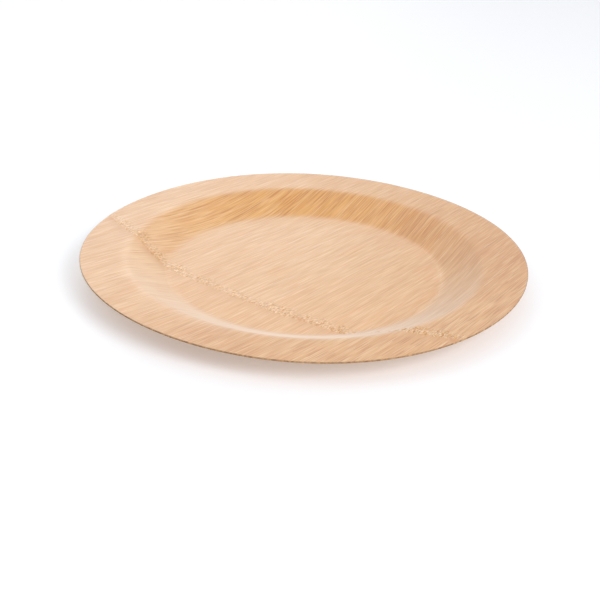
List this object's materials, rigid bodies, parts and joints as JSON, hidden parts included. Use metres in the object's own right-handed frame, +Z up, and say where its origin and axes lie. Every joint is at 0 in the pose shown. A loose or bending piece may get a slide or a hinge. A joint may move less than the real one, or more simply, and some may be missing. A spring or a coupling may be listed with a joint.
{
  "type": "bamboo plate",
  "caption": "Shallow round disposable plate pressed from one thin bamboo sheet, with a flat well, a sloped wall, a wide rim and the raised line of a culm joint.",
  "frame": {"origin": "centre of the flat underside, which rests on the table", "axes": "+Z up along the plate's axis, out of the well; +X and +Y lie in the table's plane, with the view from -Y as in the picture"},
  "size_m": [0.23, 0.23, 0.0122],
  "materials": {
    "bamboo": "bare, smooth pressed bamboo with straight fibres and a soft sheen"
  },
  "bodies": {
    "root": {"plate": "bamboo"}
  },
  "joints": []
}
